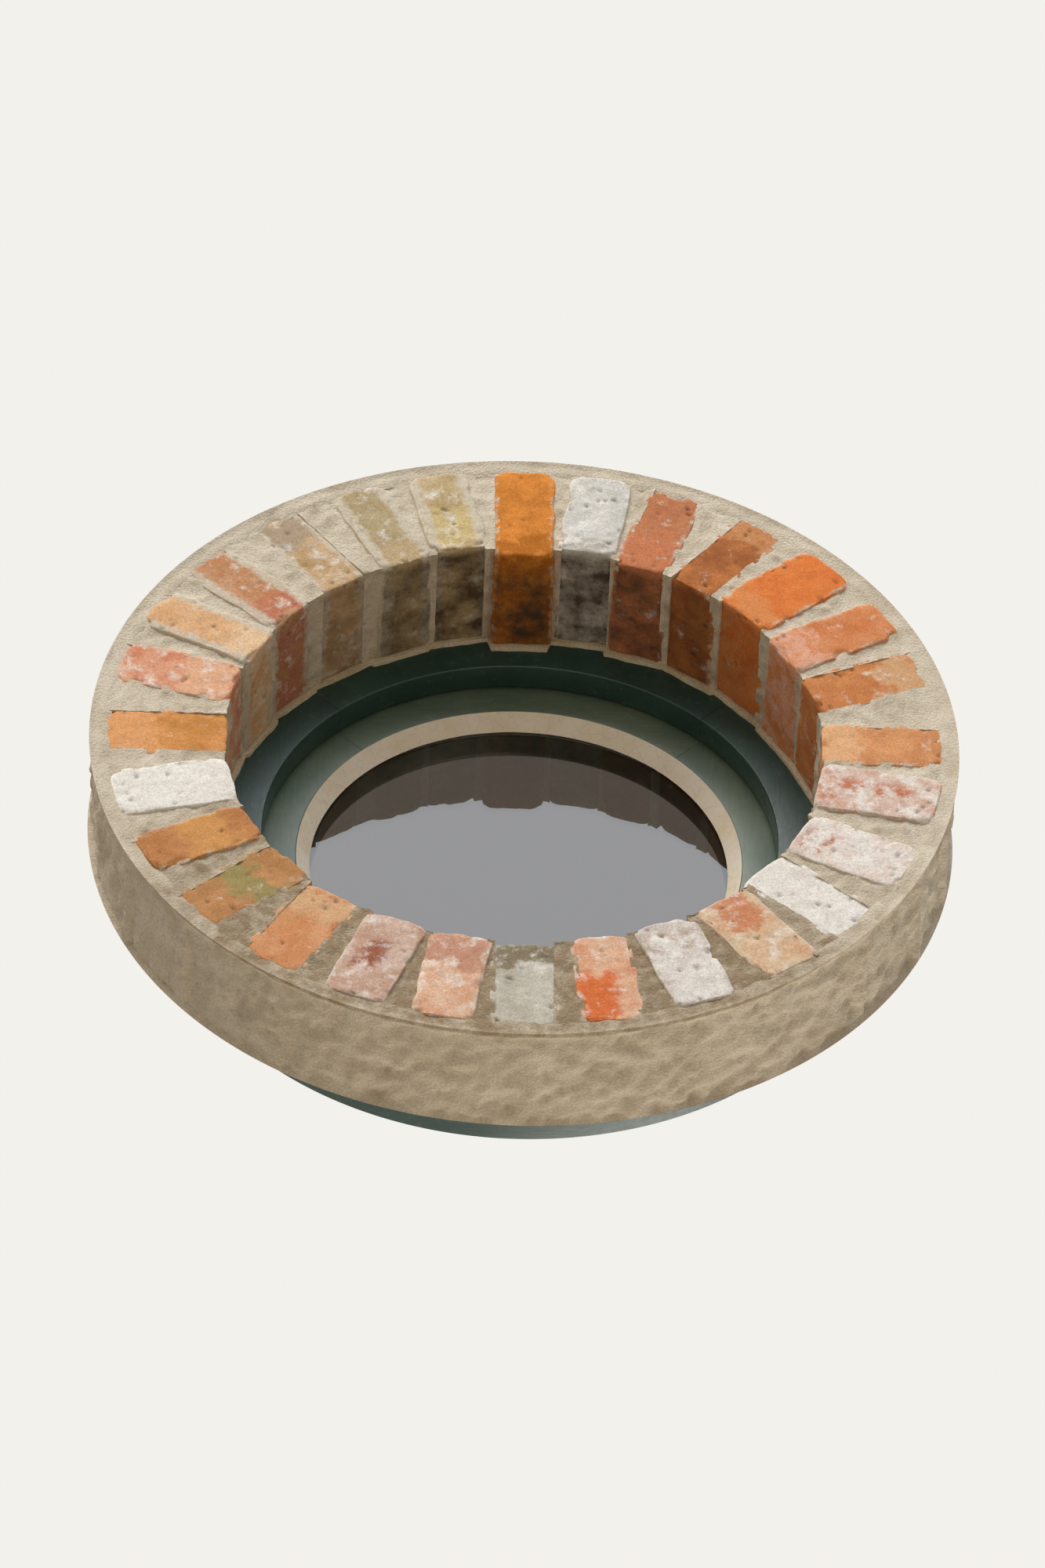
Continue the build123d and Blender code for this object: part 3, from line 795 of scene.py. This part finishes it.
def paintedOak(name, look, middle):
    # oil paint brushed over oak: satin, faint brush lines and grain along each board, chalky where rain hits
    material, tree, surface, coords = newMaterial(name, {"Specular IOR Level": look["gloss"]})
    turned = addNode(tree, "Mapping", {"Rotation": (0, math.radians(-middle), 0)}, {"Vector": coords})
    stretched = addNode(tree, "Mapping", {"Scale": (0.09, 1.0, 1.0)}, {"Vector": turned.outputs[0]})
    fibres = addNode(
        tree, "TexNoise", {"Scale": 1 / oilPaint["grain"], "Detail": 5, "Roughness": 0.6},
        {"Vector": stretched.outputs[0]},
    )
    clouds = addNode(
        tree, "TexNoise", {"Scale": 1 / oilPaint["cloud"], "Detail": 4, "Roughness": 0.55}, {"Vector": coords}
    )
    share = addNode(tree, "MapRange", {"From Min": 0.36, "From Max": 0.66}, {"Value": clouds.outputs["Fac"]})
    colour = addNode(
        tree, "Mix", {"data_type": "RGBA", 6: toLinear(look["paint"]), 7: toLinear(look["faded"])},
        {0: share.outputs[0]},
    ).outputs[2]
    streak = addNode(
        tree, "MapRange", {"From Min": 0.3, "From Max": 0.7, "To Min": 0.86, "To Max": 1.1},
        {"Value": fibres.outputs["Fac"]},
    )
    colour = addNode(
        tree, "VectorMath", {"operation": "SCALE"}, {0: colour, "Scale": streak.outputs[0]}
    ).outputs[0]
    dust = addNode(
        tree, "TexNoise", {"Scale": 1 / oilPaint["dust"], "Detail": 7, "Roughness": 0.7}, {"Vector": coords}
    )
    dusty = addNode(
        tree, "MapRange", {"From Min": 0.58, "From Max": 0.8, "To Max": look["dust"]},
        {"Value": dust.outputs["Fac"]},
    )
    colour = addNode(
        tree, "Mix", {"data_type": "RGBA", 7: toLinear(oilPaint["dustColour"])},
        {0: dusty.outputs[0], 6: colour},
    ).outputs[2]
    tree.links.new(colour, surface.inputs["Base Color"])
    shine = addNode(
        tree, "MapRange",
        {"From Min": 0.3, "From Max": 0.7, "To Min": look["rough"] - 0.07, "To Max": look["rough"] + 0.1},
        {"Value": dust.outputs["Fac"]},
    )
    tree.links.new(shine.outputs[0], surface.inputs["Roughness"])
    brushed = addNode(
        tree, "Bump", {"Strength": 0.35, "Distance": oilPaint["depth"]}, {"Height": fibres.outputs["Fac"]}
    )
    tree.links.new(brushed.outputs[0], surface.inputs["Normal"])
    return material


def boardBearings(node):  # the bearings where the segment starts and how far it turns
    bearings = sorted(bearingOf(point) for point in meshPoints(node) if radiusOf(point) > 1 * mm)
    gaps = [(b - a, b) for a, b in zip(bearings, bearings[1:])]
    gaps.append((bearings[0] + 360 - bearings[-1], bearings[0]))
    widest, start = max(gaps)
    return start, 360 - widest


def joinBoards(kind, outline, rounded, look, shape):
    for number in segmentNumbers:
        node = f"{kind}_segment_{number}"
        start, turn = boardBearings(node)
        segment = spinSegment(outline, rounded, start, turn, shape)
        sharpen(segment, shape["crease"])
        paint = paintedOak(f"{kind}Oak{number}", look, start + turn / 2)
        finishPiece(segment, f"{kind}Board{number}", paint, [node])


# the window's green oil paint, made darker on the frame: painted shade of the deep reveal over the frame's
# face
frameLookPaintedShade = {"paint": "#213A31", "faded": "#2C473D", "dust": 0.25, "rough": 0.36, "gloss": 0.4}
framePoints = meshPoints("frame_segment_1")
frameFace, frameBack = (corner.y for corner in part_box("frame_segment_1"))
backRadii = sectionRadii(framePoints, frameBack)
frameRebate, frameOuter = backRadii[0], backRadii[-1]
stopRadius = min(radiusOf(point) for point in framePoints)
stopBack = min(
    point.y for point in framePoints
    if point.y > frameFace + 1 * mm and radiusOf(point) > frameRebate - 0.1 * mm
)
frameOutline = [
    (stopRadius, frameFace), (frameOuter, frameFace), (frameOuter, frameBack),
    (frameRebate, frameBack), (frameRebate, stopBack), (stopRadius, stopBack),
]
joinBoards("frame", frameOutline, (0, 2, 3, 5), frameLookPaintedShade, joineryShape)

sashShape = {"mould": 9 * mm, "mouldSegments": 8, "taper": 1.5 * mm}
# the same green made lighter on the sash: painted light, so the sash ring reads lighter than the frame
sashLookPaintedLight = {"paint": "#5E705C", "faded": "#6E7A64", "dust": 0.35, "rough": 0.36, "gloss": 0.5}
sashPoints = meshPoints("sash_segment_2")
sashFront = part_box("sash_segment_1")[0].y
sashBack = max(point.y for point in sashPoints)
sashOuter = sectionRadii(sashPoints, sashBack)[-1]
glazingRebate = sectionRadii(sashPoints, sashFront)[0]
sightRadius = min(radiusOf(point) for point in sashPoints)
rebateFloor = min(point.y for point in sashPoints if radiusOf(point) < sightRadius + 0.1 * mm)
mould = sashShape["mould"]
sashOutline = [
    (sashOuter, sashBack), (sashOuter - sashShape["taper"], sashFront),
    (glazingRebate, sashFront), (glazingRebate, rebateFloor), (sightRadius, rebateFloor),
]
for step in range(sashShape["mouldSegments"] + 1):
    angle = math.pi / 2 * step / sashShape["mouldSegments"]
    sashOutline.append(
        (sightRadius + mould - mould * math.cos(angle), sashBack - mould + mould * math.sin(angle))
    )
joinBoards("sash", sashOutline, (0, 1, 2), sashLookPaintedLight, joineryShape)
print("frame and sash joined:", len(segmentNumbers), "boards each")


# Putty: linseed and whiting, knifed to a bevel and left cream, with a skin that has dried in fine cracks

puttyShape = {
    "step": 1.0,
    "faceCells": 6,
    "wave": 0.5 * mm,
    "wavePatch": 24 * mm,
    "knifePatch": 7 * mm,
    "crease": 40,
}
puttyLook = {
    "cream": "#FCF0DA",
    "yellow": "#F2E0BC",
    "dirt": "#B5A88C",
    "cloud": 28 * mm,
    "speck": 3 * mm,
    "crack": 9 * mm,
    "depth": 0.4 * mm,
}


def puttyRing(shape):
    low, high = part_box("putty_ring")
    paneLow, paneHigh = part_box("glass_pane")
    paneRadius = paneHigh.x
    lip = min(radiusOf(point) for point in meshPoints("putty_ring"))
    outer = high.x
    cells = shape["faceCells"]
    outline = [
        (outer + (lip - outer) * i / cells, low.y + (paneLow.y - low.y) * i / cells) for i in range(cells + 1)
    ]
    outline += [
        (paneRadius, paneLow.y), (paneRadius, paneHigh.y), (lip, paneHigh.y), (lip, high.y), (outer, high.y)
    ]
    ring = spunRing(outline, shape["step"])
    for vert in ring.verts:
        place = vert.co
        if low.y + 0.2 * mm < place.y < paneLow.y + 0.1 * mm and radiusOf(place) < outer - 0.5 * mm:
            wave = grain(place, shape["wavePatch"], 120) + 0.5 * grain(place, shape["knifePatch"], 130)
            vert.co = place + intoRoom * min(0, wave) * shape["wave"]
    return ring


def linseedPutty(name, look):
    material, tree, surface, coords = newMaterial(name, {"Roughness": 0.6})
    clouds = addNode(
        tree, "TexNoise", {"Scale": 1 / look["cloud"], "Detail": 5, "Roughness": 0.6}, {"Vector": coords}
    )
    share = addNode(tree, "MapRange", {"From Min": 0.42, "From Max": 0.72}, {"Value": clouds.outputs["Fac"]})
    colour = addNode(
        tree, "Mix", {"data_type": "RGBA", 6: toLinear(look["cream"]), 7: toLinear(look["yellow"])},
        {0: share.outputs[0]},
    ).outputs[2]
    specks = addNode(
        tree, "TexNoise", {"Scale": 1 / look["speck"], "Detail": 7, "Roughness": 0.72}, {"Vector": coords}
    )
    dirt = addNode(
        tree, "MapRange", {"From Min": 0.6, "From Max": 0.78, "To Max": 0.6}, {"Value": specks.outputs["Fac"]}
    )
    colour = addNode(
        tree, "Mix", {"data_type": "RGBA", 7: toLinear(look["dirt"])}, {0: dirt.outputs[0], 6: colour}
    ).outputs[2]
    cracks = addNode(
        tree, "TexVoronoi", {"feature": "DISTANCE_TO_EDGE", "Scale": 1 / look["crack"]}, {"Vector": coords}
    )
    crack = addNode(
        tree, "MapRange", {"From Max": 0.03, "To Min": 0.86}, {"Value": cracks.outputs["Distance"]}
    )
    colour = addNode(
        tree, "VectorMath", {"operation": "SCALE"}, {0: colour, "Scale": crack.outputs[0]}
    ).outputs[0]
    tree.links.new(colour, surface.inputs["Base Color"])
    skin = addNode(tree, "Bump", {"Strength": 0.5, "Distance": look["depth"]}, {"Height": crack.outputs[0]})
    tree.links.new(skin.outputs[0], surface.inputs["Normal"])
    return material


putty = puttyRing(puttyShape)
sharpen(putty, puttyShape["crease"])
finishPiece(putty, "puttyBevel", linseedPutty("linseedPutty", puttyLook), ["putty_ring"])


# Glass: old drawn sheet with slow ripples and a film of dust; its dark smoke-grey tint is partly the glass's
# own grey and partly painted shade of the dark room behind

def drawnGlass(name, look):
    body = {"Base Color": toLinear(look["tintWithRoomShade"]), "Transmission Weight": look["clear"], "IOR": look["ior"]}
    material, tree, surface, coords = newMaterial(name, body)
    film = addNode(
        tree, "TexNoise", {"Scale": 1 / look["film"], "Detail": 6, "Roughness": 0.6}, {"Vector": coords}
    )
    haze = addNode(
        tree, "MapRange", {"From Min": 0.4, "From Max": 0.75, "To Min": 0.0, "To Max": look["haze"]},
        {"Value": film.outputs["Fac"]},
    )
    tree.links.new(haze.outputs[0], surface.inputs["Roughness"])
    drawn = addNode(tree, "Mapping", {"Scale": (1.0, 1.0, 0.35)}, {"Vector": coords})
    ripple = addNode(
        tree, "TexNoise", {"Scale": 1 / look["ripple"], "Detail": 1, "Roughness": 0.4},
        {"Vector": drawn.outputs[0]},
    )
    wavy = addNode(tree, "Bump", {"Distance": look["wave"]}, {"Height": ripple.outputs["Fac"]})
    tree.links.new(wavy.outputs[0], surface.inputs["Normal"])
    return material


def dress(material, *names):  # a CAD node keeps its shape and gets its finish
    for name in names:
        slots = nodes[name].data.materials
        slots.clear()
        slots.append(material)


glassLook = {
    # dark tint: partly the glass's own grey, partly painted shade of the dark room seen through it
    "tintWithRoomShade": "#56504A",
    "clear": 1.0,
    "ior": 1.52,
    "film": 35 * mm,
    "haze": 0.015,
    "ripple": 40 * mm,
    "wave": 0.2 * mm,
}
dress(drawnGlass("drawnGlass", glassLook), "glass_pane")
print("pane set in putty")


# Ironmongery and hidden pieces

toolMarks = {"spacing": 0.8 * mm, "depth": 0.15 * mm}


def wornMetal(name, look):
    # plain metal seen close: fine rolling or forging marks, dull film, rust or tarnish in spots
    material, tree, surface, coords = newMaterial(name)
    spots = addNode(
        tree, "TexNoise", {"Scale": 1 / look["spot"], "Detail": 6, "Roughness": 0.66},
        {"Vector": coords},
    )
    share = addNode(
        tree, "MapRange", {"From Min": look["from"], "From Max": look["from"] + 0.14},
        {"Value": spots.outputs["Fac"]},
    )
    colour = addNode(
        tree, "Mix", {"data_type": "RGBA", 6: toLinear(look["metal"]), 7: toLinear(look["tarnish"])},
        {0: share.outputs[0]},
    ).outputs[2]
    tree.links.new(colour, surface.inputs["Base Color"])
    bare = addNode(tree, "MapRange", {"To Min": look["metallic"], "To Max": 0.2}, {"Value": share.outputs[0]})
    tree.links.new(bare.outputs[0], surface.inputs["Metallic"])
    dull = addNode(tree, "MapRange", {"To Min": look["rough"], "To Max": 0.85}, {"Value": share.outputs[0]})
    tree.links.new(dull.outputs[0], surface.inputs["Roughness"])
    marks = addNode(
        tree, "TexNoise", {"Scale": 1 / toolMarks["spacing"], "Detail": 4, "Roughness": 0.6},
        {"Vector": coords},
    )
    skin = addNode(
        tree, "Bump", {"Strength": look["marks"], "Distance": toolMarks["depth"]},
        {"Height": marks.outputs["Fac"]},
    )
    tree.links.new(skin.outputs[0], surface.inputs["Normal"])
    return material


metalLooks = {
    "rolledSteel": {
        "metal": "#8E8C88", "tarnish": "#5C4636", "spot": 6 * mm, "from": 0.56, "metallic": 1.0,
        "rough": 0.4, "marks": 0.3,
    },
    "turnedSteel": {
        "metal": "#A6A39C", "tarnish": "#6A4E38", "spot": 3 * mm, "from": 0.62, "metallic": 1.0,
        "rough": 0.34, "marks": 0.25,
    },
    "forgedIron": {
        "metal": "#3A3632", "tarnish": "#6E4226", "spot": 5 * mm, "from": 0.5, "metallic": 0.9,
        "rough": 0.6, "marks": 0.8,
    },
    "castBrass": {
        "metal": "#C39A4C", "tarnish": "#7A5C2E", "spot": 4 * mm, "from": 0.6, "metallic": 1.0,
        "rough": 0.3, "marks": 0.2,
    },
    "zincPlate": {
        "metal": "#A2A4A6", "tarnish": "#83868A", "spot": 3 * mm, "from": 0.5, "metallic": 1.0,
        "rough": 0.5, "marks": 0.3,
    },
}
metals = {name: wornMetal(name, look) for name, look in metalLooks.items()}
hinges = [
    f"{place}_{part}" for place in ("lower", "upper") for part in ("frame_leaf", "sash_leaf", "hinge_pin")
]
dress(metals["rolledSteel"], *hinges)
dress(
    metals["turnedSteel"], "frame_leaf_screws", "sash_leaf_screws", "button_screw", "button_washer",
    "knob_stud",
)
dress(metals["forgedIron"], "frame_cramps", "cramp_screws")
dress(metals["castBrass"], "pull_knob")
dress(metals["zincPlate"], "glazing_sprigs")


def bareOak(name, look):  # split oak: open grain, no finish, greyed at the ends
    material, tree, surface, coords = newMaterial(name, {"Roughness": look["rough"]})
    stretched = addNode(tree, "Mapping", {"Scale": (1.0, 0.12, 1.0)}, {"Vector": coords})
    fibres = addNode(
        tree, "TexNoise", {"Scale": 1 / look["grain"], "Detail": 6, "Roughness": 0.62},
        {"Vector": stretched.outputs[0]},
    )
    share = addNode(tree, "MapRange", {"From Min": 0.34, "From Max": 0.68}, {"Value": fibres.outputs["Fac"]})
    colour = addNode(
        tree, "Mix", {"data_type": "RGBA", 6: toLinear(look["late"]), 7: toLinear(look["early"])},
        {0: share.outputs[0]},
    ).outputs[2]
    tree.links.new(colour, surface.inputs["Base Color"])
    skin = addNode(
        tree, "Bump", {"Strength": 0.5, "Distance": look["depth"]}, {"Height": fibres.outputs["Fac"]}
    )
    tree.links.new(skin.outputs[0], surface.inputs["Normal"])
    return material


tongueLook = {"late": "#7A5C3A", "early": "#B08E62", "rough": 0.75, "grain": 1.5 * mm, "depth": 0.2 * mm}
dress(bareOak("bareOak", tongueLook), "frame_tongues", "sash_tongues")
buttonLook = {"paint": "#3D6A56", "faded": "#55806B", "dust": 0.35, "rough": 0.38, "gloss": 0.5}
dress(paintedOak("buttonOak", buttonLook, 90), "turn_button")
print("ironmongery dressed")


# Studio: pale floor far below, soft overcast light, camera below the window as in the street

studio = {
    "target": (0, 0.04, 0),
    "azimuth": -2.0,
    "elevation": -48.7,
    "distance": 8.88,
    "lens": 295,
    "sensor": 36,
    "farClip": 400,
    "background": "#F3F1EC",
    "skyColour": "#F4F6FA",
    "skyLight": 0.38,
    "lamps": {
        "overcastSky": {
            "azimuth": 0, "elevation": 48.7, "distance": 12.0, "size": 11.0, "radiance": 3.45,
            "colour": "#E9F2FF",
        },
        "brightCloud": {
            "azimuth": -40, "elevation": 50, "distance": 14.0, "size": 9.0, "radiance": 3.9,
            "colour": "#FFF0DC",
        },
        "roomWindow": {
            "azimuth": 160, "elevation": -16, "distance": 12.0, "size": 8.0, "radiance": 4.5,
            "colour": "#FFFBF4",
        },
    },
    "floorHeight": -9.6,
    "floorSize": 260,
    "floorLift": 0.6,
    "floorBounce": "#DAD0C0",
}


def aimed(azimuth, elevation, distance):
    a, e = math.radians(azimuth), math.radians(elevation)
    return Vector((math.sin(a) * math.cos(e), -math.cos(a) * math.cos(e), math.sin(e))) * distance


cameraData = bpy.data.cameras.new("streetCamera")
cameraData.lens = studio["lens"]
cameraData.sensor_width = studio["sensor"]
cameraData.clip_end = studio["farClip"]
camera = bpy.data.objects.new("streetCamera", cameraData)
bpy.context.scene.collection.objects.link(camera)
target = Vector(studio["target"])
camera.location = target + aimed(studio["azimuth"], studio["elevation"], studio["distance"])
camera.rotation_euler = (target - camera.location).to_track_quat("-Z", "Y").to_euler()
bpy.context.scene.camera = camera

for name, setting in studio["lamps"].items():
    lampData = bpy.data.lights.new(name, "AREA")
    lampData.shape = "SQUARE"
    lampData.size = setting["size"]
    lampData.color = toLinear(setting["colour"])[:3]
    lampData.energy = setting["radiance"] * math.pi * setting["size"] ** 2
    lamp = bpy.data.objects.new(name, lampData)
    bpy.context.scene.collection.objects.link(lamp)
    lamp.location = aimed(setting["azimuth"], setting["elevation"], setting["distance"])
    lamp.rotation_euler = (-lamp.location).to_track_quat("-Z", "Y").to_euler()


def seenDirectly(tree):  # 1 for camera, mirror and see-through rays, 0 for the light that falls on the object
    path = addNode(tree, "LightPath")
    first = addNode(
        tree, "Math", {"operation": "MAXIMUM"},
        {0: path.outputs["Is Camera Ray"], 1: path.outputs["Is Glossy Ray"]},
    )
    return addNode(
        tree, "Math", {"operation": "MAXIMUM"}, {0: first.outputs[0], 1: path.outputs["Is Transmission Ray"]}
    ).outputs[0]


world = bpy.data.worlds.new("paleSky")
world.use_nodes = True
sky = world.node_tree
sky.nodes.clear()
seen = seenDirectly(sky)
shown = addNode(sky, "Background", {"Color": toLinear(studio["background"]), "Strength": 1.0})
falling = addNode(sky, "Background", {"Color": toLinear(studio["skyColour"]), "Strength": studio["skyLight"]})
mixed = addNode(sky, "MixShader", links={0: seen, 1: falling.outputs[0], 2: shown.outputs[0]})
addNode(sky, "OutputWorld", links={"Surface": mixed.outputs[0]})
bpy.context.scene.world = world

floorMesh = bmesh.new()
bmesh.ops.create_grid(floorMesh, x_segments=8, y_segments=8, size=studio["floorSize"] / 2)
bmesh.ops.translate(floorMesh, vec=(0, 0, studio["floorHeight"]), verts=floorMesh.verts[:])
floorData = bpy.data.meshes.new("paleFloor")
floorMesh.to_mesh(floorData)
floorMesh.free()
floorMaterial = bpy.data.materials.new("paleFloor")
floorMaterial.use_nodes = True
floorTree = floorMaterial.node_tree
floorTree.nodes.clear()
seen = seenDirectly(floorTree)
floorColour = addNode(
    floorTree, "Mix",
    {"data_type": "RGBA", 6: toLinear(studio["floorBounce"]), 7: toLinear(studio["background"])}, {0: seen},
)
floorShader = addNode(floorTree, "BsdfDiffuse", links={"Color": floorColour.outputs[2]})
glowShare = addNode(floorTree, "Math", {"operation": "MULTIPLY", 1: studio["floorLift"]}, {0: seen})
glow = addNode(
    floorTree, "Emission", {"Color": toLinear(studio["background"])}, {"Strength": glowShare.outputs[0]}
)
both = addNode(floorTree, "AddShader", links={0: floorShader.outputs[0], 1: glow.outputs[0]})
addNode(floorTree, "OutputMaterial", links={"Surface": both.outputs[0]})
floorData.materials.append(floorMaterial)
floor = bpy.data.objects.new("paleFloor", floorData)
bpy.context.scene.collection.objects.link(floor)
floor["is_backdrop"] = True

bpy.context.scene.view_settings.view_transform = "Standard"
bpy.context.view_layer.update()
triangleCount = 0
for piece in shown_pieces():
    piece.data.calc_loop_triangles()
    triangleCount += len(piece.data.loop_triangles)
print("triangles shown:", triangleCount)
